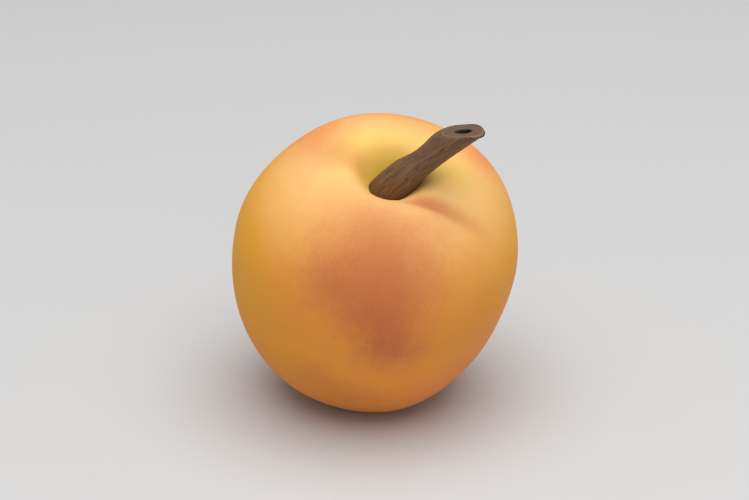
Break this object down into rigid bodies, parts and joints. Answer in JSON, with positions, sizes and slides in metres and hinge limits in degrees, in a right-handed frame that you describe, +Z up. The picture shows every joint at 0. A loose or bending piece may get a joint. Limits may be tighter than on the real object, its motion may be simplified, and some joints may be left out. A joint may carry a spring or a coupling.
{
  "type": "peach with stem",
  "caption": "Round, slightly pointed ripe stone fruit with a deep stem hollow, a soft side crease and a thick cut brown stem, leaning on a small flat spot.",
  "frame": {"origin": "centre of the small flat spot the fruit rests on", "axes": "+Z up, square to the flat spot; the stem end of the fruit leans towards -Y and a little towards +X"},
  "size_m": [0.071, 0.0724, 0.0815],
  "materials": {
    "peach_skin": "matt, velvety golden skin with rose blush patches",
    "peach_stem": "dull brown bark with fine lengthwise ridges"
  },
  "bodies": {
    "root": {"fruit": "peach_skin", "stem": "peach_stem"}
  },
  "joints": []
}
